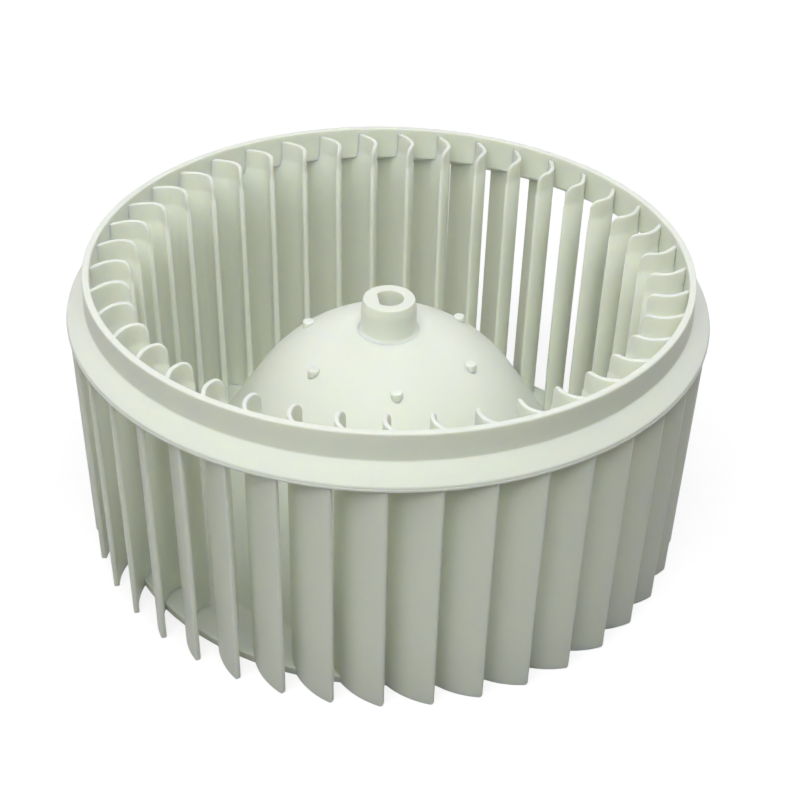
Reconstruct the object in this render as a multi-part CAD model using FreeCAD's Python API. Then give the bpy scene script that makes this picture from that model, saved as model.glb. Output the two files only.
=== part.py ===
"""Heater fan impeller: a one-piece moulded drum of forward-curved blades.

The origin is on the drum's axis, in the plane of the blades' lower tips. +Z points from
the closed base to the open inlet, and the front of the part is -Y.
"""
import FreeCAD, Part
import math
import os

# Drum, in millimetres
OUTER_RADIUS = 75.0
HEIGHT = 72.3
# Blade cascade
BLADE_COUNT = 41
BLADE_THICKNESS = 1.3
BLADE_TIP_INSET = 0.2
BLADE_TIP_HEADING = 70.3
BLADE_OUTER_ARC_RADIUS = 18.4
BLADE_OUTER_ARC_SWEEP = 43.1
BLADE_HOOK_RADIUS = 5.0
BLADE_HOOK_SWEEP = 78.3
BLADE_LEAN = 0.0226
BLADE_TOP_DROP = 1.5
BLADE_TOP_CORNER = 2.6
FIRST_TIP_ANGLE = -124.15
# Ring: an upright collar on a sloping shoulder, thickest where the one bends into the other
RING_WALL = 1.65
COLLAR_HEIGHT = 6.5
COLLAR_INSIDE_DEPTH = 8.3
COLLAR_SETBACK = 4.3
COLLAR_DRAFT = 0.1
SHOULDER_DROP = 3.6
SHOULDER_EDGE_BEVEL = 0.5
RIM_BEVEL = 0.35
RING_HEIGHT = 11.35
# Base: a flat annulus that rises into a cone with a round crown and a small flat land
BASE_WALL = 2.0
BASE_SETBACK = 8.3
BASE_LAND = 12.2
DOME_HEIGHT = 52.5
DOME_LAND_RADIUS = 10.5
DOME_CROWN_RADIUS = 39.0
# Hub with a D-shaped shaft bore
HUB_RADIUS = 6.6
HUB_TOP_RADIUS = 6.1
HUB_TAPER_HEIGHT = 2.3
HUB_TOP_HEIGHT = 61.0
HUB_LENGTH = 24.0
HUB_TOP_BEVEL = 0.3
HUB_FOOT_BEAD = 0.7
BORE_DIAMETER = 7.0
BORE_FLAT_OFFSET = 2.55
BORE_FLAT_ANGLE = 189.5
# Ejector pips on the dome
PIP_COUNT = 6
PIP_CIRCLE_RADIUS = 21.5
PIP_RADIUS = 1.35
PIP_TOP_RISE = 1.3
PIP_FIRST_ANGLE = 36.6
PIP_ROOT = 0.3

# Allowance by which a cutting or trimming body stands clear of what it trims
CLEAR = 0.08
# Amount by which a rounding cut passes the blade's end, so that no ledge stays below it
NO_LEDGE = 0.02
# Length by which a blade is drawn past both ends before it is trimmed
BLADE_OVERRUN = 5.0

LIP_Z = HEIGHT - RING_HEIGHT
BLADE_TOP_Z = HEIGHT - BLADE_TOP_DROP
TIP_RADIUS = OUTER_RADIUS - BLADE_TIP_INSET
COLLAR_RADIUS = OUTER_RADIUS - COLLAR_SETBACK
BASE_RADIUS = OUTER_RADIUS - BASE_SETBACK
DOME_FOOT_RADIUS = BASE_RADIUS - BASE_LAND


def bevelled_profile(corners):
    """Closed face in the XZ plane from (radius, height, bevel) corners."""
    points = [FreeCAD.Vector(radius, 0, height) for radius, height, _ in corners]
    count = len(points)
    outline = []
    for index, (_, _, bevel) in enumerate(corners):
        corner = points[index]
        if bevel:
            before = points[index - 1] - corner
            after = points[(index + 1) % count] - corner
            outline.append(corner + before.normalize() * bevel)
            outline.append(corner + after.normalize() * bevel)
        else:
            outline.append(corner)
    return Part.Face(Part.makePolygon(outline + outline[:1]))


def turned(face):
    """The face revolved a full turn about the drum's axis."""
    return face.revolve(FreeCAD.Vector(0, 0, 0), FreeCAD.Vector(0, 0, 1), 360)


def ring():
    """Inlet ring: collar, shoulder and lip as one bent wall."""
    foot_z = HEIGHT - COLLAR_HEIGHT
    inner_radius = COLLAR_RADIUS - RING_WALL
    return turned(bevelled_profile([
        (inner_radius, HEIGHT, RIM_BEVEL),
        (COLLAR_RADIUS, HEIGHT, RIM_BEVEL),
        (COLLAR_RADIUS + COLLAR_DRAFT, foot_z, 0),
        (OUTER_RADIUS, foot_z - SHOULDER_DROP, SHOULDER_EDGE_BEVEL),
        (OUTER_RADIUS, LIP_Z, 0),
        (OUTER_RADIUS - RING_WALL, LIP_Z, 0),
        (inner_radius + COLLAR_DRAFT, HEIGHT - COLLAR_INSIDE_DEPTH, 0),
    ]))


def direction(degrees):
    """Unit vector in plan at an angle from +X."""
    angle = math.radians(degrees)
    return FreeCAD.Vector(math.cos(angle), math.sin(angle), 0)


def blade_side(offset):
    """Points of a blade's side in plan at the lip's level, at an offset from its camber line.

    They run inwards from the tip at angle 0: along a long arc to the joint, then round a
    tight hook of the same hand. The middles of both arcs are among them.
    """
    tip_facing = BLADE_TIP_HEADING - 90
    joint_facing = tip_facing - BLADE_OUTER_ARC_SWEEP
    inner_facing = joint_facing - BLADE_HOOK_SWEEP
    # The tip's outer corner lies on the tip circle
    side_radius = BLADE_OUTER_ARC_RADIUS + BLADE_THICKNESS / 2
    outer_centre = direction(0) * TIP_RADIUS - direction(tip_facing) * side_radius
    hook_centre = outer_centre + direction(joint_facing) * (BLADE_OUTER_ARC_RADIUS - BLADE_HOOK_RADIUS)
    long_arc = BLADE_OUTER_ARC_RADIUS + offset
    hook = BLADE_HOOK_RADIUS + offset
    return [
        outer_centre + direction(tip_facing) * long_arc,
        outer_centre + direction((tip_facing + joint_facing) / 2) * long_arc,
        outer_centre + direction(joint_facing) * long_arc,
        hook_centre + direction((joint_facing + inner_facing) / 2) * hook,
        hook_centre + direction(inner_facing) * hook,
    ]


def blade_section():
    """Plan of a blade at the lip's level: its camber line thickened, with square ends."""
    tip, outer_middle, joint, hook_middle, inner = blade_side(BLADE_THICKNESS / 2)
    back_tip, back_outer_middle, back_joint, back_hook_middle, back_inner = blade_side(-BLADE_THICKNESS / 2)
    return Part.Face(Part.Wire([
        Part.Arc(tip, outer_middle, joint).toShape(),
        Part.Arc(joint, hook_middle, inner).toShape(),
        Part.LineSegment(inner, back_inner).toShape(),
        Part.Arc(back_inner, back_hook_middle, back_joint).toShape(),
        Part.Arc(back_joint, back_outer_middle, back_tip).toShape(),
        Part.LineSegment(back_tip, tip).toShape(),
    ]))


def blade_envelope():
    """Turned body that trims every blade: its foot, its top and its seat in the ring's wall."""
    inner_limit = blade_side(0)[-1].Length - BLADE_LEAN * LIP_Z - 2 * BLADE_THICKNESS
    outer_limit = OUTER_RADIUS + BLADE_THICKNESS
    half_wall = RING_WALL / 2
    collar_middle = COLLAR_RADIUS - half_wall
    lip_middle = OUTER_RADIUS - half_wall
    foot_z = HEIGHT - COLLAR_HEIGHT - half_wall
    return turned(bevelled_profile([
        (inner_limit, 0, 0),
        (outer_limit, 0, 0),
        (outer_limit, LIP_Z + CLEAR, 0),
        (lip_middle, LIP_Z + CLEAR, 0),
        (lip_middle, foot_z - SHOULDER_DROP, 0),
        (collar_middle, foot_z, 0),
        (collar_middle, BLADE_TOP_Z, 0),
        (inner_limit, BLADE_TOP_Z, 0),
    ]))


def corner_cut():
    """What the round takes off a blade's inner top corner: a block less a cylinder across it."""
    centre_z = BLADE_TOP_Z - BLADE_TOP_CORNER
    inner_heading = BLADE_TIP_HEADING - BLADE_OUTER_ARC_SWEEP - BLADE_HOOK_SWEEP
    axis_x = BLADE_TOP_CORNER - NO_LEDGE
    side = axis_x + BLADE_THICKNESS
    width = 2 * BLADE_TOP_CORNER
    block = Part.makeBox(side, width, side, FreeCAD.Vector(-BLADE_THICKNESS, -width / 2, 0))
    axis_foot = FreeCAD.Vector(axis_x, -width / 2, 0)
    cut = block.cut(Part.makeCylinder(BLADE_TOP_CORNER, width, axis_foot, FreeCAD.Vector(0, 1, 0)))
    cut.rotate(FreeCAD.Vector(0, 0, 0), FreeCAD.Vector(0, 0, 1), inner_heading)
    lean = direction(0) * BLADE_LEAN * (centre_z - LIP_Z)
    cut.translate(blade_side(0)[-1] + lean + FreeCAD.Vector(0, 0, centre_z))
    return cut


def blade():
    """One blade: its section drawn upright, tipped about the lip's level and trimmed."""
    section = blade_section()
    section.translate(FreeCAD.Vector(0, 0, -BLADE_OVERRUN))
    prism = section.extrude(FreeCAD.Vector(0, 0, BLADE_TOP_Z + 2 * BLADE_OVERRUN))
    tip_at_lip = FreeCAD.Vector(TIP_RADIUS, 0, LIP_Z)
    prism.rotate(tip_at_lip, FreeCAD.Vector(0, 1, 0), math.degrees(math.atan(BLADE_LEAN)))
    return prism.common(blade_envelope()).cut(corner_cut())


def blades():
    """The whole cascade."""
    first = blade()
    pitch = 360 / BLADE_COUNT
    copies = []
    for index in range(BLADE_COUNT):
        copy = first.copy()
        copy.rotate(FreeCAD.Vector(0, 0, 0), FreeCAD.Vector(0, 0, 1), FIRST_TIP_ANGLE - index * pitch)
        copies.append(copy)
    return copies


def crown_centre_z():
    """Height of the crown sphere's centre, from the flat land that it carries."""
    return DOME_HEIGHT - math.sqrt(DOME_CROWN_RADIUS ** 2 - DOME_LAND_RADIUS ** 2)


def flank_slope():
    """Slope in radians of the flank, which leaves the crown tangentially and ends at the foot.

    The tangent from the foot and the crown's radius close a right-angled triangle with the
    line from the crown's centre to the foot.
    """
    rise = BASE_WALL - crown_centre_z()
    distance = math.hypot(DOME_FOOT_RADIUS, rise)
    return math.atan2(DOME_FOOT_RADIUS, rise) - math.acos(DOME_CROWN_RADIUS / distance)


def crown_arc(inset):
    """Start, middle and end of the crown's outline, set in by an amount."""
    radius = DOME_CROWN_RADIUS - inset
    start_z = DOME_HEIGHT - inset - crown_centre_z()
    first = math.acos(start_z / radius)
    last = flank_slope()

    def place(angle):
        return FreeCAD.Vector(radius * math.sin(angle), 0, crown_centre_z() + radius * math.cos(angle))

    return place(first), place((first + last) / 2), place(last)


def base_shell():
    """Flat annulus and dome, one wall thick and open underneath."""
    start, middle, end = crown_arc(0)
    under_start, under_middle, under_end = crown_arc(BASE_WALL)
    under_foot = FreeCAD.Vector(under_end.x + under_end.z / math.tan(flank_slope()), 0, 0)
    outline = [
        end,
        FreeCAD.Vector(DOME_FOOT_RADIUS, 0, BASE_WALL),
        FreeCAD.Vector(BASE_RADIUS, 0, BASE_WALL),
        FreeCAD.Vector(BASE_RADIUS, 0, 0),
        under_foot,
        under_end,
    ]
    crown = [under_start, FreeCAD.Vector(0, 0, under_start.z), FreeCAD.Vector(0, 0, start.z), start]
    edges = [
        Part.makePolygon(outline),
        Part.Arc(under_end, under_middle, under_start).toShape(),
        Part.makePolygon(crown),
        Part.Arc(start, middle, end).toShape(),
    ]
    return turned(Part.Face(Part.Wire(edges)))


def hub():
    """Boss with a tapered nose above the dome and a plain length below it."""
    taper_z = HUB_TOP_HEIGHT - HUB_TAPER_HEIGHT
    bead_radius = HUB_RADIUS + HUB_FOOT_BEAD
    return turned(bevelled_profile([
        (0, HUB_TOP_HEIGHT - HUB_LENGTH, 0),
        (HUB_RADIUS, HUB_TOP_HEIGHT - HUB_LENGTH, 0),
        (HUB_RADIUS, DOME_HEIGHT - BASE_WALL / 2, 0),
        (bead_radius, DOME_HEIGHT - BASE_WALL / 2, 0),
        (bead_radius, DOME_HEIGHT, 0),
        (HUB_RADIUS, DOME_HEIGHT + HUB_FOOT_BEAD, 0),
        (HUB_RADIUS, taper_z, 0),
        (HUB_TOP_RADIUS, HUB_TOP_HEIGHT, HUB_TOP_BEVEL),
        (0, HUB_TOP_HEIGHT, 0),
    ]))


def crown_height_at(radius):
    """Height of the crown's outer surface over a radius outside its flat land."""
    return crown_centre_z() + math.sqrt(DOME_CROWN_RADIUS ** 2 - radius ** 2)


def pips():
    """Small upright pins standing on the dome around the hub."""
    top = crown_height_at(PIP_CIRCLE_RADIUS) + PIP_TOP_RISE
    foot = crown_height_at(PIP_CIRCLE_RADIUS + PIP_RADIUS) - PIP_ROOT
    shapes = []
    for index in range(PIP_COUNT):
        place = direction(PIP_FIRST_ANGLE + index * 360 / PIP_COUNT) * PIP_CIRCLE_RADIUS
        shapes.append(Part.makeCylinder(PIP_RADIUS, top - foot, place + FreeCAD.Vector(0, 0, foot)))
    return shapes


def bore():
    """D-shaped hole through the hub, to be cut."""
    length = HUB_LENGTH + 2 * CLEAR
    radius = BORE_DIAMETER / 2
    foot = FreeCAD.Vector(0, 0, HUB_TOP_HEIGHT - HUB_LENGTH - CLEAR)
    round_hole = Part.makeCylinder(radius, length, foot)
    keep_width = radius + BORE_FLAT_OFFSET
    keep = Part.makeBox(keep_width, 2 * radius, length, FreeCAD.Vector(-BORE_FLAT_OFFSET, -radius, foot.z))
    keep.rotate(FreeCAD.Vector(0, 0, 0), FreeCAD.Vector(0, 0, 1), BORE_FLAT_ANGLE - 180)
    return round_hole.common(keep)


def impeller():
    """Everything joined into one moulding, with the shaft bore cut through the hub."""
    body = base_shell().multiFuse([hub()] + pips()).cut(bore())
    return body.multiFuse([ring()] + blades()).removeSplitter()


os.makedirs("parts", exist_ok=True)
moulding = impeller()
moulding.exportStep("parts/impeller.step")
print("valid", moulding.isValid(), "solids", len(moulding.Solids), "volume", round(moulding.Volume, 1))
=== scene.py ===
"""Looks of a heater fan impeller: smooth surfaces of its ring, blades, base, hub and pips."""

import math

import bpy
import numpy as np
from mathutils import Matrix, Vector


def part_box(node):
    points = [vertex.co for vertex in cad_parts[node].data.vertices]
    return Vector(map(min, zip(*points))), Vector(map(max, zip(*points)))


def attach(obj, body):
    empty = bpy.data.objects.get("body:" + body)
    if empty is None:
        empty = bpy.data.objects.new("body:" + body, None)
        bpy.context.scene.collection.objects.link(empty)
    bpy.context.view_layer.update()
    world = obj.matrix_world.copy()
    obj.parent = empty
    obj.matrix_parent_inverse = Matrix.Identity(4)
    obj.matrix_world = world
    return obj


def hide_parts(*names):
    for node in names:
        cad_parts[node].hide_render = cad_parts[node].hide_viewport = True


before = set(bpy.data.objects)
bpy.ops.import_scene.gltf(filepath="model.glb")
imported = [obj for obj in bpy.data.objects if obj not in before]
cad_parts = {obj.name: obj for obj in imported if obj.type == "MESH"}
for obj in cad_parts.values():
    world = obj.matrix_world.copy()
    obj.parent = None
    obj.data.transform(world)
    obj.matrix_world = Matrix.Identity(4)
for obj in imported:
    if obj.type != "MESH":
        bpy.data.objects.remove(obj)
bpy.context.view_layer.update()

bl_info = {
    "name": "Heater fan impeller",
    "version": (1, 0, 0),
    "blender": (4, 5, 0),
    "location": "3D View > Sidebar > Impeller",
    "description": "Builds the surfaces, finish and studio of a moulded fan impeller",
    "category": "Object",
}

MM = 0.001
NODE = "impeller"
NODE_LOW, NODE_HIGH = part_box(NODE)
DRUM_RADIUS = round((NODE_HIGH.x - NODE_LOW.x) / 2, 6)
DRUM_HEIGHT = round(NODE_HIGH.z, 6)
SHARP_ANGLE = math.radians(35)
# Steps along each rounded corner, and along the dome's large arcs
CORNER_STEPS = 7
CROWN_STEPS = 17
# Steps round the base and the pips, and round the bore's round part and its flat
BASE_SEGMENTS = 360
PIP_SEGMENTS = 48
BORE_ROUND_STEPS = 180
BORE_FLAT_STEPS = 60
# Steps along a blade's inner top corner, between its corners, at its outer bottom corner and up each part
TOP_CORNER_STEPS = 9
BLADE_STEPS = 26
TIP_CORNER_STEPS = 5
HEIGHT_STEPS = 5
# Steps along the quarter rounds of a blade's border and of a pip's top edge
EDGE_STEPS = 5
# How far red, green and blue light travel inside the plastic, as shares of the reach
SCATTER_SHARES = (1.0, 0.9, 0.62)
# Scales of the cloudy tone, the dull patches and the grain, and the grain's strength
CLOUD_SCALE = 28
DULL_SCALE = 160
GRAIN_SCALE = 2600
GRAIN_STRENGTH = 0.5
FLOOR_HALF_WIDTH = 3.0
FLOOR_LEVEL = -0.02 * MM
# Distances from the drum's axis between which the floor fades into plain white
FADE_START = 0.3
FADE_END = 0.9
SENSOR_WIDTH = 36
# Each lamp's place, the length of its sides and its tint; its power is among the studio's settings
LAMPS = [
    ("key", (0.0, -0.38, 0.77), 0.6, (0.97, 1.0, 0.97)),
    ("left", (-0.45, -0.45, 0.55), 0.6, (1.0, 1.0, 0.98)),
    ("back_left", (-0.5, 0.45, 0.5), 0.6, (0.97, 0.92, 1.0)),
    ("back_right", (0.5, 0.45, 0.5), 0.6, (0.96, 0.94, 1.0)),
]


def length(name, millimetres, description):
    """A length property whose default is written in millimetres."""
    return bpy.props.FloatProperty(
        name=name,
        description=description,
        default=millimetres * MM,
        precision=5,
        subtype="DISTANCE",
        unit="LENGTH",
    )


def angle(name, degrees, description):
    """An angle property whose default is written in degrees."""
    return bpy.props.FloatProperty(
        name=name, description=description, default=math.radians(degrees), subtype="ANGLE", unit="ROTATION"
    )


def factor(name, default, description, highest=1.0):
    """A plain number property from zero up."""
    return bpy.props.FloatProperty(
        name=name, description=description, default=default, min=0.0, max=highest
    )


def count(name, default, description):
    """A whole number property."""
    return bpy.props.IntProperty(name=name, description=description, default=default, min=1)


def colour(name, default, description):
    """A colour property in linear light."""
    return bpy.props.FloatVectorProperty(
        name=name, description=description, default=default, size=3, min=0.0, max=1.0, subtype="COLOR"
    )


class RingSizes(bpy.types.PropertyGroup):
    """Sizes of the inlet ring."""

    wall: length("Wall", 1.65, "Thickness of the ring's wall")
    height: length("Ring height", 11.35, "From the lip's lower edge to the rim")
    collar_height: length("Collar height", 6.5, "From the collar's foot to the rim")
    inside_depth: length("Collar inside depth", 8.3, "From the rim down to the collar's inner edge")
    collar_setback: length("Collar setback", 4.3, "How far the collar stands in from the drum's radius")
    collar_draft: length("Collar draft", 0.1, "How much wider the collar is at its foot")
    shoulder_drop: length("Shoulder drop", 3.6, "Height of the sloping shoulder")
    shoulder_round: length("Shoulder edge round", 0.7, "Rounding where the shoulder meets the outer face")
    foot_fillet: length("Collar foot fillet", 0.6, "Fillet between the collar and the shoulder")
    rim_round: length("Rim round", 0.4, "Rounding of the rim's two edges")
    lip_height: length("Lip height", 0.6, "Height of the narrow bead along the ring's lower edge")
    lip_step: length("Lip step", 0.12, "How far the face above the bead stands back from it")
    segments: count("Segments", 432, "Steps round the ring")


class BladeSizes(bpy.types.PropertyGroup):
    """Sizes of the blade cascade."""

    number: count("Blades", 41, "Number of blades round the drum")
    thickness: length("Thickness", 1.3, "Thickness of a blade at the mould's step")
    foot_thickness: length("Foot thickness", 1.85, "Thickness of a blade at the foot of its inner end")
    edge_round: length("Edge round", 0.22, "Rounding of a blade's upper and lower edges")
    tip_round: length("Tip round", 0.5, "Rounding of a blade's tip")
    nose_round: length("Nose round", 0.62, "Rounding of a blade's inner end")
    tip_inset: length("Tip inset", 0.2, "How far the tips stand in from the drum's radius at the lip")
    tip_heading: angle("Tip heading", 70.3, "Direction of the blade at its tip, from the radius")
    outer_arc_radius: length("Long arc radius", 18.4, "Radius of the blade's outer stretch")
    outer_arc_sweep: angle("Long arc sweep", 43.1, "Angle turned along the outer stretch")
    hook_radius: length("Hook radius", 5.0, "Radius of the hook at the blade's inner end")
    hook_sweep: angle("Hook sweep", 78.3, "Angle turned along the hook")
    lean: factor("Lean", 0.0226, "How far the blades lean inwards for each unit of height going down")
    top_drop: length("Top drop", 1.5, "How far the blades end below the rim")
    top_corner: length("Top corner", 2.6, "Rounding of a blade's inner top corner")
    tip_corner: length("Tip corner", 0.7, "Rounding of a blade's outer bottom corner")
    step_drop: length("Step drop", 7.2, "From the rim down to the mould's step across every blade")
    step_depth: length("Step depth", 0.17, "How far each side of a blade stands back above the step")
    step_setback: length("Step setback", 0.17, "How far a blade's inner end stands back above the step")
    step_height: length("Step height", 0.3, "Height over which the step slopes")
    first_angle: angle("First blade", -124.15, "Angle of the first blade's tip round the drum")


class BaseSizes(bpy.types.PropertyGroup):
    """Sizes of the base plate, its dome and the pips on it."""

    wall: length("Wall", 2.0, "Thickness of the plate and the dome")
    setback: length("Setback", 8.3, "How far the plate's rim stands in from the drum's radius")
    land: length("Land", 12.2, "Width of the flat annulus outside the dome")
    dome_height: length("Dome height", 52.5, "Height of the flat land on the dome, round the hub")
    dome_land: length("Dome land", 10.5, "Radius of the flat land on the dome")
    land_round: length("Land round", 6.0, "Rounding of the land's edge into the crown")
    crown_radius: length("Crown radius", 39.0, "Radius of the crown's sphere, which the flank touches")
    foot_fillet: length("Foot fillet", 1.0, "Fillet between the flank and the flat annulus")
    edge_round: length("Edge round", 0.3, "Rounding of the plate's rim")
    pip_number: count("Pips", 6, "Number of pips round the hub")
    pip_circle: length("Pip circle", 21.5, "Radius of the circle on which the pips stand")
    pip_radius: length("Pip radius", 1.35, "Radius of a pip")
    pip_rise: length("Pip rise", 1.3, "Height of a pip's flat top over the dome at the pip's middle")
    pip_round: length("Pip round", 0.25, "Rounding of a pip's top edge")
    pip_first_angle: angle("First pip", 36.6, "Angle of the first pip round the hub")


class HubSizes(bpy.types.PropertyGroup):
    """Sizes of the hub and its D-shaped bore."""

    radius: length("Radius", 6.6, "Radius of the hub")
    top_radius: length("Top radius", 6.15, "Radius of the hub's tapered end")
    taper_height: length("Taper height", 2.3, "Height of the hub's tapered end")
    top_height: length("Top height", 61.0, "Height of the hub's top")
    body_length: length("Length", 24.0, "Length of the hub, most of it under the dome")
    top_round: length("Top round", 0.35, "Rounding of the hub's top edge")
    foot_fillet: length("Foot fillet", 0.8, "Fillet between the hub and the dome")
    bore_radius: length("Bore radius", 3.5, "Radius of the bore's round part")
    bore_flat: length("Bore flat", 2.55, "Distance from the axis to the bore's flat")
    bore_flat_angle: angle("Bore flat angle", 189.5, "Direction in which the bore's flat lies")


class PlasticFinish(bpy.types.PropertyGroup):
    """Colour and surface of the moulded plastic."""

    body: colour("Body colour", (0.84, 0.868, 0.79), "Colour of the plastic")
    shade: colour("Shade colour", (0.815, 0.84, 0.755), "Slightly deeper tone of the cloudy patches")
    roughness: factor("Roughness", 0.42, "Roughness of the smooth patches")
    roughness_spread: factor("Roughness spread", 0.1, "How much rougher the dull patches are")
    grain_depth: length("Grain depth", 0.012, "Depth of the fine moulded grain")
    gloss: factor("Gloss", 0.3, "Strength of the mirror reflection, 0.5 being that of a common plastic")
    glow: factor("Light inside", 0.9, "Share of the light that scatters inside the plastic")
    glow_reach: length("Scatter reach", 1.6, "How far light travels inside the plastic")


class StudioSettings(bpy.types.PropertyGroup):
    """Camera, lamps and floor."""

    lens: length("Focal length", 72.481, "Focal length of the camera on a 36 mm sensor")
    look_down: angle("Look down", 34.584, "Angle of the view below the horizontal")
    roll: angle("Roll", -1.587, "Turn of the camera about its own view")
    origin_right: length("Drum foot right", -3.945, "Place of the drum's foot to the camera's right")
    origin_down: length("Drum foot below", 26.087, "Place of the drum's foot below the camera's axis")
    origin_ahead: length("Drum foot ahead", 415.248, "Distance of the drum's foot along the view")
    key: factor("Key lamp", 5.1, "Power of the large lamp above and a little in front, in watts", 100)
    left: factor("Left lamp", 1.3, "Power of the lamp in front at the left, in watts", 100)
    back_left: factor("Back left lamp", 1.8, "Power of the lamp behind at the left, in watts", 100)
    back_right: factor("Back right lamp", 2.3, "Power of the lamp behind at the right, in watts", 100)
    horizon: factor("Horizon", 0.01, "Strength of the even light from low down", 10)
    zenith: factor("Zenith", 0.03, "Strength of the even light from straight above", 10)
    paper: factor("Floor brightness", 0.3, "Share of the light that the floor throws back")
    floor_white: factor("Floor white", 0.78, "Even white that the camera sees on the floor near the drum")
    floor_shade: factor("Floor shadow", 0.28, "Share of the real light and its shadow in that white")


def fan(angles):
    """Unit directions in plan as complex numbers, x along the real axis."""
    return np.exp(1j * angles)


def full_turn(steps):
    """Even angles once round the axis."""
    return np.linspace(0, 2 * math.pi, steps, endpoint=False)


def in_space(plan, height):
    """Points in space from complex numbers in plan and their heights."""
    return np.stack([plan.real, plan.imag, np.broadcast_to(height, plan.shape)], axis=-1).reshape(-1, 3)


def rounded_outline(corners, steps):
    """Closed outline in (radius, height) from rows of (radius, height, rounding).

    At each corner the two sides are cut back by rounding / tan(half the corner's angle) and
    joined by the arc that touches both. Its points are the two spokes blended by sines, so
    they are evenly spaced. A point just beyond each end of the arc keeps the flats flat
    when they are shaded smoothly.
    """
    corners = np.asarray(corners, float)
    points, rounding = corners[:, :2], corners[:, 2:]
    before = np.roll(points, 1, axis=0) - points
    after = np.roll(points, -1, axis=0) - points
    before /= np.linalg.norm(before, axis=1, keepdims=True)
    after /= np.linalg.norm(after, axis=1, keepdims=True)
    half = np.arccos(np.clip((before * after).sum(axis=1, keepdims=True), -1, 1)) / 2
    cut_back = rounding / np.tan(half)
    start = points + before * cut_back
    end = points + after * cut_back
    middle = before + after
    centre = points + middle / np.linalg.norm(middle, axis=1, keepdims=True) * rounding / np.sin(half)
    turned = math.pi - 2 * half[:, :, None]
    share = np.linspace(0, 1, steps)[None, :, None]
    leaving = np.sin((1 - share) * turned) * (start - centre)[:, None]
    arriving = np.sin(share * turned) * (end - centre)[:, None]
    arcs = centre[:, None] + (leaving + arriving) / np.sin(turned)
    hold = 0.04 * MM
    lead_in = (start + before * hold)[:, None]
    lead_out = (end + after * hold)[:, None]
    return np.concatenate([lead_in, arcs, lead_out], axis=1).reshape(-1, 2)


def joined_grid(columns, rows):
    """Quads of a grid that closes on itself both ways; vertex numbers are column * rows + row."""
    column = np.arange(columns)[:, None]
    row = np.arange(rows)[None, :]
    next_column = (column + 1) % columns
    next_row = (row + 1) % rows
    here = column * rows + row
    right = next_column * rows + row
    right_up = next_column * rows + next_row
    up = column * rows + next_row
    return np.stack([here, right, right_up, up], axis=-1).reshape(-1, 4)


def open_grid(columns, rows):
    """Quads of a plain grid; vertex numbers are column * rows + row."""
    here = (np.arange(columns - 1)[:, None] * rows + np.arange(rows - 1)[None, :]).ravel()
    return np.stack([here, here + rows, here + rows + 1, here + 1], axis=-1)


def turned_surface(radius, height, angles):
    """Vertices and quads of a closed outline carried round the drum's axis.

    x and y are the radius times the cosine and sine of the angle. The radius may be one
    outline for all angles or one for each angle.
    """
    radius = np.broadcast_to(radius, (len(angles), len(height)))
    plan = radius * fan(angles)[:, None]
    return in_space(plan, height), joined_grid(len(angles), len(height))


def add_piece(context, name, vertices, faces):
    """Adds a smooth mesh to the scene, in the finish and on the body that every piece shares."""
    mesh = bpy.data.meshes.new(name)
    mesh.from_pydata(vertices.tolist(), [], faces)
    if mesh.validate():
        raise RuntimeError(name + " has faces that Blender had to mend")
    mesh.polygons.foreach_set("use_smooth", np.ones(len(mesh.polygons), bool))
    mesh.set_sharp_from_angle(angle=SHARP_ANGLE)
    mesh.materials.append(plastic(context.scene.impeller_finish))
    piece = bpy.data.objects.new(name, mesh)
    context.scene.collection.objects.link(piece)
    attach(piece, "root")
    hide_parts(NODE)
    return piece


def ring_outline(sizes):
    """Outline of the ring's wall, from the lip's lower edge up the outside and down the inside."""
    lip_z = DRUM_HEIGHT - sizes.height
    lip_top_z = lip_z + sizes.lip_height
    foot_z = DRUM_HEIGHT - sizes.collar_height
    edge_z = foot_z - sizes.shoulder_drop
    face_radius = DRUM_RADIUS - sizes.lip_step
    collar_radius = DRUM_RADIUS - sizes.collar_setback
    inner_radius = collar_radius - sizes.wall
    small = 0.12 * MM
    corners = [
        (DRUM_RADIUS - sizes.wall, lip_z, small),
        (DRUM_RADIUS, lip_z, 2 * small),
        (DRUM_RADIUS, lip_top_z, small),
        (face_radius, lip_top_z + sizes.lip_step, small / 2),
        (face_radius, edge_z, sizes.shoulder_round),
        (collar_radius + sizes.collar_draft, foot_z, sizes.foot_fillet),
        (collar_radius, DRUM_HEIGHT, sizes.rim_round),
        (inner_radius, DRUM_HEIGHT, sizes.rim_round),
        (inner_radius + sizes.collar_draft, DRUM_HEIGHT - sizes.inside_depth, small),
    ]
    return rounded_outline(corners, CORNER_STEPS)


class IMPELLER_OT_inlet_ring(bpy.types.Operator):
    """Builds the stepped ring round the drum's inlet"""

    bl_idname = "impeller.inlet_ring"
    bl_label = "Inlet ring"

    def execute(self, context):
        sizes = context.scene.impeller_ring
        outline = ring_outline(sizes)
        vertices, quads = turned_surface(outline[:, 0], outline[:, 1], full_turn(sizes.segments))
        add_piece(context, "inlet_ring", vertices, quads.tolist())
        return {"FINISHED"}


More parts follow.
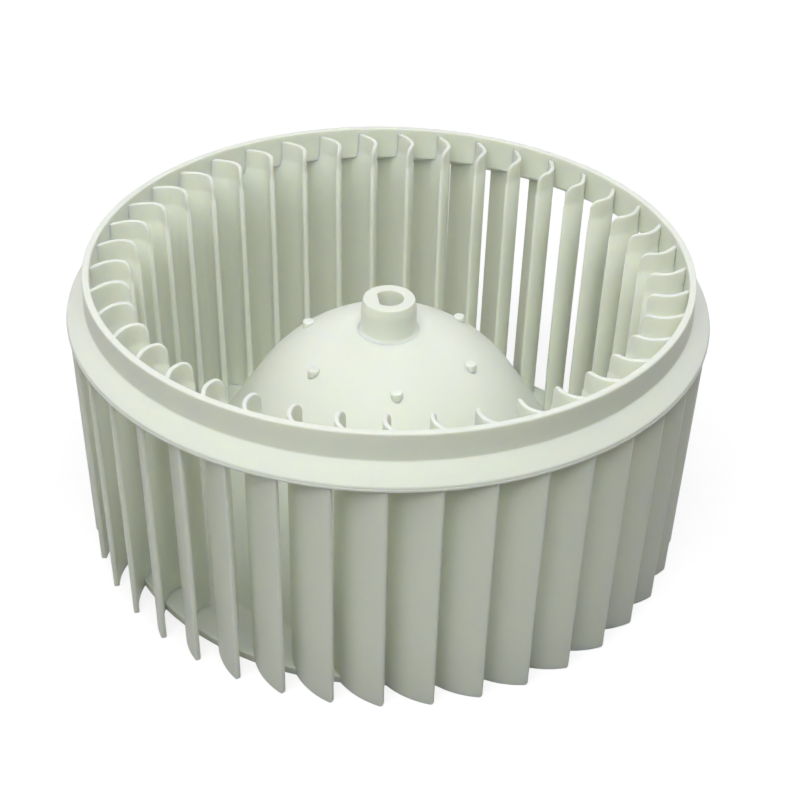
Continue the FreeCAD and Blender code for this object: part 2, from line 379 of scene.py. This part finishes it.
def camber_point(sizes, station, offset):
    """Plan of a point beside the blade's middle line at the lip's level, as a complex number.

    station runs along the line from the inner end. Up to the hook's length it turns round
    the hook's centre, and beyond it round the long arc's centre, the same way and with a
    shared tangent. offset runs square to the line, towards the blade's outer side. The tip's
    outer corner lies on the tip circle at angle 0.
    """
    tip_facing = sizes.tip_heading - math.pi / 2
    joint_facing = tip_facing - sizes.outer_arc_sweep
    tip_corner = DRUM_RADIUS - sizes.tip_inset
    outer_centre = tip_corner - fan(tip_facing) * (sizes.outer_arc_radius + sizes.thickness / 2)
    hook_centre = outer_centre + fan(joint_facing) * (sizes.outer_arc_radius - sizes.hook_radius)
    hook_length = sizes.hook_radius * sizes.hook_sweep
    past_joint = station - hook_length
    in_hook = past_joint < 0
    centre = np.where(in_hook, hook_centre, outer_centre)
    radius = np.where(in_hook, sizes.hook_radius, sizes.outer_arc_radius)
    return centre + (radius + offset) * fan(joint_facing + past_joint / radius)


def quarter(steps):
    """Cosines and sines of a quarter turn in even steps."""
    turn = np.linspace(0, math.pi / 2, steps)
    return np.cos(turn), np.sin(turn)


def blade_face(sizes, blade_top):
    """Stations, lower and upper heights of a blade's flat face, and the reach of its border.

    The face stands back from the blade's outline by the nose rounding at the inner end, by
    the tip rounding at the tip and by the edge rounding elsewhere. The reach is that
    distance as a complex number, along the blade and up. The inner top corner and the outer
    bottom corner are quarter ellipses, stepped by their angle.
    """
    back, nose, tip = sizes.edge_round, sizes.nose_round, sizes.tip_round
    full_length = sizes.hook_radius * sizes.hook_sweep + sizes.outer_arc_radius * sizes.outer_arc_sweep
    top_cos, top_sin = quarter(TOP_CORNER_STEPS)
    tip_sin, tip_cos = quarter(TIP_CORNER_STEPS)[::-1]
    top_stations = sizes.top_corner - (sizes.top_corner - nose) * top_cos
    tip_start = full_length - sizes.tip_corner
    tip_stations = tip_start + (sizes.tip_corner - tip) * tip_sin
    middle = np.linspace(sizes.top_corner, tip_start, BLADE_STEPS)[1:-1]
    stations = np.concatenate([top_stations, middle, tip_stations])
    upper = np.full(len(stations), blade_top - back)
    upper[:TOP_CORNER_STEPS] = blade_top - sizes.top_corner + (sizes.top_corner - back) * top_sin
    lower = np.full(len(stations), back)
    lower[-TIP_CORNER_STEPS:] = sizes.tip_corner - (sizes.tip_corner - back) * tip_cos
    up_reach = np.full(len(stations), back * 1j)
    up_reach[:TOP_CORNER_STEPS] = -nose * top_cos + 1j * back * top_sin
    down_reach = np.full(len(stations), -back * 1j)
    down_reach[-TIP_CORNER_STEPS:] = tip * tip_sin - 1j * back * tip_cos
    return stations, lower, upper, down_reach, up_reach


def blade_skin(sizes, blade_top):
    """Stations, heights, offsets and quads of one blade's closed skin, before it is bent and leant.

    Two equal grids are the outer and the inner side. A band joins their borders: a quarter
    ellipse of the border's reach, a flat where there is room, and another quarter ellipse.
    Above the step both sides stand back by the step's depth, and the inner end by its
    setback, which fades out along the blade as the square of the distance left. Below the
    step the blade thickens towards its foot and its inner end, all of it on the inner side.
    """
    stations, lower, upper, down_reach, up_reach = blade_face(sizes, blade_top)
    step_z = DRUM_HEIGHT - sizes.step_drop
    ledge = sizes.step_height / 2
    share = np.linspace(0, 1, HEIGHT_STEPS)
    below = lower[:, None] + (step_z - ledge - lower)[:, None] * share
    above = step_z + ledge + (upper - step_z - ledge)[:, None] * share
    height = np.concatenate([below, above], axis=1)
    columns, rows = height.shape
    face = stations[:, None] + 1j * height
    number = np.arange(columns * rows).reshape(columns, rows)
    border = np.concatenate([number[:, 0], number[-1, 1:], number[-2::-1, -1], number[0, -2:0:-1]])
    tip_reach = np.full(rows - 1, sizes.tip_round + 0j)
    nose_reach = np.full(rows - 2, -sizes.nose_round + 0j)
    reach = np.concatenate([down_reach, tip_reach, up_reach[-2::-1], nose_reach])
    half = sizes.thickness / 2
    cosine, sine = quarter(EDGE_STEPS)
    band_offset = half - abs(reach) * (1 - cosine)[:, None]
    band_offset = np.concatenate([band_offset, -band_offset[::-1]])[1:-1]
    band_reach = np.concatenate([sine, sine[::-1]])[1:-1]
    band = face.ravel()[border] + reach * band_reach[:, None]
    flat_points = np.concatenate([face.ravel(), face.ravel(), band.ravel()])
    side = np.full(face.size, half)
    offset = np.concatenate([side, -side, band_offset.ravel()])
    over_step = flat_points.imag > step_z
    left = np.clip(1 - flat_points.real / (2 * sizes.top_corner), 0, 1)
    flat_points = flat_points + over_step * sizes.step_setback * left**2
    offset = offset * np.where(over_step, 1 - sizes.step_depth / half, 1)
    share_below = np.clip(1 - flat_points.imag / step_z, 0, 1)
    share_inward = 1 - flat_points.real / flat_points.real.max()
    growth = 1 + (sizes.foot_thickness / sizes.thickness - 1) * share_below * share_inward
    offset = half - (half - offset) * growth
    outer_side = open_grid(columns, rows)
    inner_side = outer_side[:, ::-1] + face.size
    around = len(border)
    band_numbers = 2 * face.size + np.arange(band.size).reshape(-1, around)
    loops = np.concatenate([border[None], band_numbers, border[None] + face.size])
    here, across = loops[:-1], loops[1:]
    band_quads = np.stack([here, across, np.roll(across, -1, axis=1), np.roll(here, -1, axis=1)], axis=-1)
    quads = np.concatenate([outer_side, inner_side, band_quads.reshape(-1, 4)])
    return flat_points.real, flat_points.imag, offset, quads


def cascade(sizes, ring, base):
    """Vertices and quads of all the blades.

    The flat skin is bent along the middle line, leant in by its height below the lip and
    turned round the axis once for each blade. Where it runs inside the ring's wall or the
    base plate, its height is held within that wall.
    """
    lip_z = DRUM_HEIGHT - ring.height
    blade_top = DRUM_HEIGHT - sizes.top_drop
    station, height, offset, quads = blade_skin(sizes, blade_top)
    plan = camber_point(sizes, station, offset)
    radius = abs(plan)
    collar_middle = DRUM_RADIUS - ring.collar_setback - ring.wall / 2
    foot_z = DRUM_HEIGHT - ring.collar_height - ring.wall / 2
    edge_z = foot_z - ring.shoulder_drop
    hair = 0.3 * MM
    ceiling_radii = [collar_middle - hair, collar_middle + hair, DRUM_RADIUS - ring.wall / 2]
    ceiling = np.interp(radius, ceiling_radii, [blade_top, foot_z, edge_z])
    foot_radius = abs(plan - sizes.lean * lip_z)
    plate_rim = DRUM_RADIUS - base.setback
    inside_plate = 0.4 * base.wall
    floor = np.interp(foot_radius, [plate_rim - 2 * hair, plate_rim - hair], [inside_plate, 0])
    height = np.clip(height, floor, ceiling)
    plan = plan + sizes.lean * (height - lip_z)
    turns = fan(sizes.first_angle - np.arange(sizes.number) * 2 * math.pi / sizes.number)
    shift = np.arange(sizes.number)[:, None, None] * len(plan)
    return in_space(plan * turns[:, None], height), (quads + shift).reshape(-1, 4)


class IMPELLER_OT_blades(bpy.types.Operator):
    """Builds the cascade of curved blades between the base and the ring"""

    bl_idname = "impeller.blades"
    bl_label = "Blades"

    def execute(self, context):
        scene = context.scene
        vertices, quads = cascade(scene.impeller_blades, scene.impeller_ring, scene.impeller_base)
        add_piece(context, "blade_cascade", vertices, quads.tolist())
        return {"FINISHED"}


def crown_centre(sizes):
    """Height of the crown sphere's centre, from the flat land that it carries."""
    return sizes.dome_height - math.sqrt(sizes.crown_radius**2 - sizes.dome_land**2)


def flank_slope(sizes):
    """Slope of the flank, which leaves the crown tangentially and ends at the foot.

    The tangent from the foot and the crown's radius close a right-angled triangle with the
    line from the crown's centre to the foot.
    """
    foot = DRUM_RADIUS - sizes.setback - sizes.land
    rise = sizes.wall - crown_centre(sizes)
    return math.atan2(foot, rise) - math.acos(sizes.crown_radius / math.hypot(foot, rise))


def base_outline(sizes, hole_radius):
    """Outline of the base's wall, from its rim over the dome to the hub and back underneath.

    The crown's arc is the rounding of a corner between its two tangents, one a little
    outside the land and one along the flank. That corner lies on the middle direction, at
    radius / cos(half the angle between them) from the sphere's centre. Underneath, each
    corner moves by wall * (n1 + n2) / (1 + n1.n2), n1 and n2 being the inward unit normals
    of its two sides.
    """
    rim = DRUM_RADIUS - sizes.setback
    foot = rim - sizes.land
    centre_z = crown_centre(sizes)
    crown_start = 1.15 * sizes.dome_land
    first, last = math.asin(crown_start / sizes.crown_radius), flank_slope(sizes)
    reach = sizes.crown_radius / math.cos((last - first) / 2)
    middle = (first + last) / 2
    up_tangent = (sizes.dome_height - centre_z - sizes.crown_radius * math.cos(first)) / math.sin(first)
    land_edge = sizes.crown_radius * math.sin(first) - up_tangent * math.cos(first)
    over = np.array([
        (rim, sizes.wall),
        (foot, sizes.wall),
        (reach * math.sin(middle), centre_z + reach * math.cos(middle)),
        (land_edge, sizes.dome_height),
        (hole_radius, sizes.dome_height),
    ])
    side = np.diff(over, axis=0)
    normal = np.stack([-side[:, 1], side[:, 0]], axis=-1) / np.linalg.norm(side, axis=1, keepdims=True)
    joined = (normal[:-1] + normal[1:]) / (1 + (normal[:-1] * normal[1:]).sum(axis=1, keepdims=True))
    under = over[1:-1] + sizes.wall * joined
    small = 0.08 * MM
    roundings = [sizes.edge_round, sizes.foot_fillet, sizes.crown_radius, sizes.land_round, small]
    inner_crown = sizes.crown_radius - sizes.wall
    under_roundings = [small, sizes.land_round, inner_crown, sizes.foot_fillet, sizes.edge_round]
    back = [(hole_radius, sizes.dome_height - sizes.wall), *under[::-1], (rim, 0)]
    corners = np.column_stack([np.vstack([over, back]), roundings + under_roundings])
    return rounded_outline(corners, CROWN_STEPS)


class IMPELLER_OT_domed_base(bpy.types.Operator):
    """Builds the base plate and the dome that rises from it"""

    bl_idname = "impeller.domed_base"
    bl_label = "Domed base"

    def execute(self, context):
        scene = context.scene
        # The dome's own hole lies out of sight inside the hub's wall
        cover = 0.15 * MM
        hole_radius = scene.impeller_hub.bore_radius + cover
        outline = base_outline(scene.impeller_base, hole_radius)
        vertices, quads = turned_surface(outline[:, 0], outline[:, 1], full_turn(BASE_SEGMENTS))
        add_piece(context, "domed_base", vertices, quads.tolist())
        return {"FINISHED"}


def crown_height(sizes, radius):
    """Height of the dome over a radius: the flat land, and the crown's sphere outside it."""
    return min(sizes.dome_height, crown_centre(sizes) + math.sqrt(sizes.crown_radius**2 - radius**2))


def hub_outline(hub, base):
    """Outline of the hub's wall, from the bore's lower edge up the outside and down the bore."""
    bottom_z = hub.top_height - hub.body_length
    taper_z = hub.top_height - hub.taper_height
    flange = hub.radius + 2 * hub.foot_fillet
    sunk = 0.02 * MM
    flange_z = crown_height(base, flange) - sunk
    foot_z = crown_height(base, hub.radius)
    small = 0.15 * MM
    corners = [
        (hub.bore_radius, bottom_z, small),
        (hub.radius, bottom_z, hub.top_round),
        (hub.radius, flange_z - base.wall / 2, small),
        (flange, flange_z - base.wall / 2, small),
        (flange, flange_z, small / 4),
        (hub.radius, foot_z, hub.foot_fillet),
        (hub.radius, taper_z, small),
        (hub.top_radius, hub.top_height, hub.top_round),
        (hub.bore_radius, hub.top_height, small),
    ]
    return rounded_outline(corners, CORNER_STEPS)


class IMPELLER_OT_hub(bpy.types.Operator):
    """Builds the hub with its D-shaped bore"""

    bl_idname = "impeller.hub"
    bl_label = "Hub"

    def execute(self, context):
        hub = context.scene.impeller_hub
        outline = hub_outline(hub, context.scene.impeller_base)
        corner = math.acos(hub.bore_flat / hub.bore_radius)
        round_part = np.linspace(corner, 2 * math.pi - corner, BORE_ROUND_STEPS)
        flat_part = np.linspace(-corner, corner, BORE_FLAT_STEPS)[1:-1]
        from_flat = np.concatenate([round_part, flat_part])
        # The bore's radius is shortened where its flat cuts across: flat / cos(angle from the flat)
        on_flat = abs(np.angle(fan(from_flat))) < corner
        shortened = np.where(on_flat, hub.bore_flat / np.cos(from_flat), hub.bore_radius)
        hair = 0.3 * MM
        in_bore = outline[:, 0] < hub.bore_radius + hair
        share = np.where(in_bore, (shortened / hub.bore_radius)[:, None], 1.0)
        angles = from_flat + hub.bore_flat_angle
        vertices, quads = turned_surface(outline[:, 0] * share, outline[:, 1], angles)
        add_piece(context, "drive_hub", vertices, quads.tolist())
        return {"FINISHED"}


def pip_skin(sizes, steps):
    """Vertices and faces of one pip: a turned outline from a pole in the dome to a pole on top."""
    root_z = crown_height(sizes, sizes.pip_circle + sizes.pip_radius) - sizes.wall / 4
    foot_z = crown_height(sizes, sizes.pip_circle)
    top_z = foot_z + sizes.pip_rise
    cosine, sine = quarter(EDGE_STEPS)
    edge_radius = sizes.pip_radius - sizes.pip_round * (1 - cosine)
    radius = np.concatenate([[sizes.pip_radius, sizes.pip_radius], edge_radius, [edge_radius[-1] / 2]])
    height = np.concatenate([[root_z, foot_z], top_z - sizes.pip_round * (1 - sine), [top_z]])
    vertices = in_space(radius * fan(full_turn(steps))[:, None], height)
    rows = len(radius)
    quads = joined_grid(steps, rows).reshape(steps, rows, 4)[:, :-1].reshape(-1, 4)
    first = np.arange(steps) * rows
    following = np.roll(first, -1)
    bottom_pole, top_pole = len(vertices), len(vertices) + 1
    bottom = np.stack([following, first, np.full(steps, bottom_pole)], axis=-1)
    top = np.stack([first + rows - 1, following + rows - 1, np.full(steps, top_pole)], axis=-1)
    poles = [(0, 0, root_z), (0, 0, top_z)]
    return np.concatenate([vertices, poles]), quads, np.concatenate([bottom, top])


class IMPELLER_OT_pips(bpy.types.Operator):
    """Builds the pips that stand on the dome round the hub"""

    bl_idname = "impeller.pips"
    bl_label = "Pips"

    def execute(self, context):
        sizes = context.scene.impeller_base
        vertices, quads, triangles = pip_skin(sizes, PIP_SEGMENTS)
        turns = sizes.pip_first_angle + np.arange(sizes.pip_number) * 2 * math.pi / sizes.pip_number
        places = sizes.pip_circle * fan(turns)
        shifts = np.stack([places.real, places.imag, np.zeros(sizes.pip_number)], axis=-1)
        everywhere = (vertices + shifts[:, None]).reshape(-1, 3)
        numbers = np.arange(sizes.pip_number)[:, None, None] * len(vertices)
        faces = (quads + numbers).reshape(-1, 4).tolist() + (triangles + numbers).reshape(-1, 3).tolist()
        add_piece(context, "ejector_pips", everywhere, faces)
        return {"FINISHED"}


def plastic(finish):
    """The pale moulded plastic: cloudy colour, uneven gloss and a very fine grain."""
    name = "pale moulded plastic"
    known = bpy.data.materials.get(name)
    if known:
        return known
    material = bpy.data.materials.new(name)
    material.use_nodes = True
    nodes, links = material.node_tree.nodes, material.node_tree.links
    shader = nodes["Principled BSDF"]
    shader.inputs["Specular IOR Level"].default_value = finish.gloss
    shader.inputs["Subsurface Weight"].default_value = finish.glow
    shader.inputs["Subsurface Radius"].default_value = SCATTER_SHARES
    shader.inputs["Subsurface Scale"].default_value = finish.glow_reach
    place = nodes.new("ShaderNodeTexCoord")

    def noise(scale, detail):
        texture = nodes.new("ShaderNodeTexNoise")
        texture.inputs["Scale"].default_value = scale
        texture.inputs["Detail"].default_value = detail
        links.new(place.outputs["Object"], texture.inputs["Vector"])
        return texture.outputs["Fac"]

    tone = nodes.new("ShaderNodeMix")
    tone.data_type = "RGBA"
    tone.inputs[6].default_value = (*finish.body, 1)
    tone.inputs[7].default_value = (*finish.shade, 1)
    links.new(noise(CLOUD_SCALE, 3), tone.inputs[0])
    links.new(tone.outputs[2], shader.inputs["Base Color"])
    gloss = nodes.new("ShaderNodeMapRange")
    gloss.inputs["To Min"].default_value = finish.roughness
    gloss.inputs["To Max"].default_value = finish.roughness + finish.roughness_spread
    links.new(noise(DULL_SCALE, 4), gloss.inputs["Value"])
    links.new(gloss.outputs["Result"], shader.inputs["Roughness"])
    grain = nodes.new("ShaderNodeBump")
    grain.inputs["Strength"].default_value = GRAIN_STRENGTH
    grain.inputs["Distance"].default_value = finish.grain_depth
    links.new(noise(GRAIN_SCALE, 2), grain.inputs["Height"])
    links.new(grain.outputs["Normal"], shader.inputs["Normal"])
    return material


def seen_rays(nodes, links):
    """Socket that is 1 for what the camera sees directly, in gloss or through a clear body."""
    path = nodes.new("ShaderNodeLightPath")
    first = nodes.new("ShaderNodeMath")
    first.operation = "MAXIMUM"
    either = nodes.new("ShaderNodeMath")
    either.operation = "MAXIMUM"
    links.new(path.outputs["Is Camera Ray"], first.inputs[0])
    links.new(path.outputs["Is Glossy Ray"], first.inputs[1])
    links.new(first.outputs[0], either.inputs[0])
    links.new(path.outputs["Is Transmission Ray"], either.inputs[1])
    return either.outputs[0]


def end_tree(nodes, links, lit, seen, output_kind):
    """Ends a node tree with the seen shader for the seen rays and the lit shader for all others."""
    chosen = nodes.new("ShaderNodeMixShader")
    output = nodes.new(output_kind)
    links.new(seen_rays(nodes, links), chosen.inputs[0])
    links.new(lit.outputs[0], chosen.inputs[1])
    links.new(seen.outputs[0], chosen.inputs[2])
    links.new(chosen.outputs[0], output.inputs[0])


def shader_node(nodes, kind, level):
    """A shader node in an even grey, of which level 1 is white."""
    shader = nodes.new(kind)
    shader.inputs["Color"].default_value = (level, level, level, 1)
    return shader


def studio_floor(settings):
    """White floor that keeps the object's shadow: the camera sees mostly an even white."""
    mesh = bpy.data.meshes.new("studio_floor")
    sides = [(-1, -1), (1, -1), (1, 1), (-1, 1)]
    corners = [(x * FLOOR_HALF_WIDTH, y * FLOOR_HALF_WIDTH, FLOOR_LEVEL) for x, y in sides]
    mesh.from_pydata(corners, [], [(0, 1, 2, 3)])
    material = bpy.data.materials.new("white floor")
    material.use_nodes = True
    nodes, links = material.node_tree.nodes, material.node_tree.links
    nodes.clear()
    paper = shader_node(nodes, "ShaderNodeBsdfDiffuse", settings.paper)
    shadow = shader_node(nodes, "ShaderNodeBsdfDiffuse", settings.floor_shade)
    white = shader_node(nodes, "ShaderNodeEmission", 1)
    place = nodes.new("ShaderNodeTexCoord")
    away = nodes.new("ShaderNodeVectorMath")
    away.operation = "LENGTH"
    # Beyond the lamps' reach the floor fades into the white behind it
    fade = nodes.new("ShaderNodeMapRange")
    fade.inputs["From Min"].default_value = FADE_START
    fade.inputs["From Max"].default_value = FADE_END
    fade.inputs["To Min"].default_value = settings.floor_white
    links.new(place.outputs["Object"], away.inputs[0])
    links.new(away.outputs["Value"], fade.inputs["Value"])
    links.new(fade.outputs["Result"], white.inputs["Strength"])
    seen = nodes.new("ShaderNodeAddShader")
    links.new(shadow.outputs[0], seen.inputs[0])
    links.new(white.outputs[0], seen.inputs[1])
    end_tree(nodes, links, paper, seen, "ShaderNodeOutputMaterial")
    mesh.materials.append(material)
    return bpy.data.objects.new("studio_floor", mesh)


def studio_world(settings):
    """World that lights the object evenly and shows plain white behind it and in its gloss."""
    world = bpy.data.worlds.new("studio")
    world.use_nodes = True
    nodes, links = world.node_tree.nodes, world.node_tree.links
    nodes.clear()
    even = shader_node(nodes, "ShaderNodeBackground", 1)
    toward = nodes.new("ShaderNodeTexCoord")
    parts = nodes.new("ShaderNodeSeparateXYZ")
    rise = nodes.new("ShaderNodeMapRange")
    rise.inputs["To Min"].default_value = settings.horizon
    rise.inputs["To Max"].default_value = settings.zenith
    links.new(toward.outputs["Generated"], parts.inputs[0])
    links.new(parts.outputs["Z"], rise.inputs["Value"])
    links.new(rise.outputs["Result"], even.inputs["Strength"])
    white = shader_node(nodes, "ShaderNodeBackground", 1)
    white.inputs["Strength"].default_value = 1.0
    end_tree(nodes, links, even, white, "ShaderNodeOutputWorld")
    return world


def studio_lamp(name, place, target, size, power, tint):
    """Square soft lamp that faces a target."""
    lamp = bpy.data.lights.new(name, "AREA")
    lamp.shape = "SQUARE"
    lamp.size = size
    lamp.energy = power
    lamp.color = tint
    holder = bpy.data.objects.new(name, lamp)
    aim = (Vector(target) - Vector(place)).to_track_quat("-Z", "Y")
    holder.matrix_world = Matrix.Translation(place) @ aim.to_matrix().to_4x4()
    return holder


def studio_camera(settings):
    """Camera that looks down at the drum, placed from where the drum's foot stands in its view."""
    lowered, roll = settings.look_down, settings.roll
    ahead = Vector((0, math.cos(lowered), -math.sin(lowered)))
    level_right = Vector((1, 0, 0))
    level_down = Vector((0, -math.sin(lowered), -math.cos(lowered)))
    right = level_right * math.cos(roll) + level_down * math.sin(roll)
    down = level_down * math.cos(roll) - level_right * math.sin(roll)
    place = -(right * settings.origin_right + down * settings.origin_down + ahead * settings.origin_ahead)
    lens = bpy.data.cameras.new("studio_camera")
    lens.sensor_width = SENSOR_WIDTH
    lens.lens = settings.lens / MM
    holder = bpy.data.objects.new("studio_camera", lens)
    turn = Matrix((right, -down, -ahead)).transposed()
    holder.matrix_world = Matrix.Translation(place) @ turn.to_4x4()
    return holder


class IMPELLER_OT_studio(bpy.types.Operator):
    """Builds the floor, the lamps, the world and the camera"""

    bl_idname = "impeller.studio"
    bl_label = "Studio"

    def execute(self, context):
        scene = context.scene
        settings = scene.impeller_studio
        floor = studio_floor(settings)
        middle = (0, 0, DRUM_HEIGHT / 2)
        lamps = [
            studio_lamp(name + "_lamp", place, middle, size, getattr(settings, name), tint)
            for name, place, size, tint in LAMPS
        ]
        camera = studio_camera(settings)
        for item in (floor, camera, *lamps):
            scene.collection.objects.link(item)
        scene.world = studio_world(settings)
        scene.camera = camera
        scene.view_settings.view_transform = "Standard"
        return {"FINISHED"}


class IMPELLER_PT_panel(bpy.types.Panel):
    """Lists the impeller's pieces and sizes in the sidebar"""

    bl_idname = "IMPELLER_PT_panel"
    bl_label = "Impeller"
    bl_space_type = "VIEW_3D"
    bl_region_type = "UI"
    bl_category = "Impeller"

    def draw(self, context):
        layout = self.layout
        for operator, settings_name in PIECES:
            box = layout.box()
            box.operator(operator.bl_idname)
            settings = getattr(context.scene, settings_name)
            for name in settings.__annotations__:
                box.prop(settings, name)


SETTINGS = {
    "impeller_finish": PlasticFinish,
    "impeller_ring": RingSizes,
    "impeller_blades": BladeSizes,
    "impeller_base": BaseSizes,
    "impeller_hub": HubSizes,
    "impeller_studio": StudioSettings,
}
PIECES = [
    (IMPELLER_OT_inlet_ring, "impeller_ring"),
    (IMPELLER_OT_blades, "impeller_blades"),
    (IMPELLER_OT_domed_base, "impeller_base"),
    (IMPELLER_OT_hub, "impeller_hub"),
    (IMPELLER_OT_pips, "impeller_base"),
    (IMPELLER_OT_studio, "impeller_studio"),
]
CLASSES = [*SETTINGS.values(), *(operator for operator, _ in PIECES), IMPELLER_PT_panel]


def register():
    for item in CLASSES:
        bpy.utils.register_class(item)
    for name, group in SETTINGS.items():
        setattr(bpy.types.Scene, name, bpy.props.PointerProperty(type=group))


def unregister():
    for name in SETTINGS:
        delattr(bpy.types.Scene, name)
    for item in reversed(CLASSES):
        bpy.utils.unregister_class(item)


def main():
    """Registers the classes and builds every piece and the studio."""
    register()
    bpy.ops.impeller.inlet_ring()
    bpy.ops.impeller.blades()
    bpy.ops.impeller.domed_base()
    bpy.ops.impeller.hub()
    bpy.ops.impeller.pips()
    bpy.ops.impeller.studio()


if __name__ == "__main__":
    main()
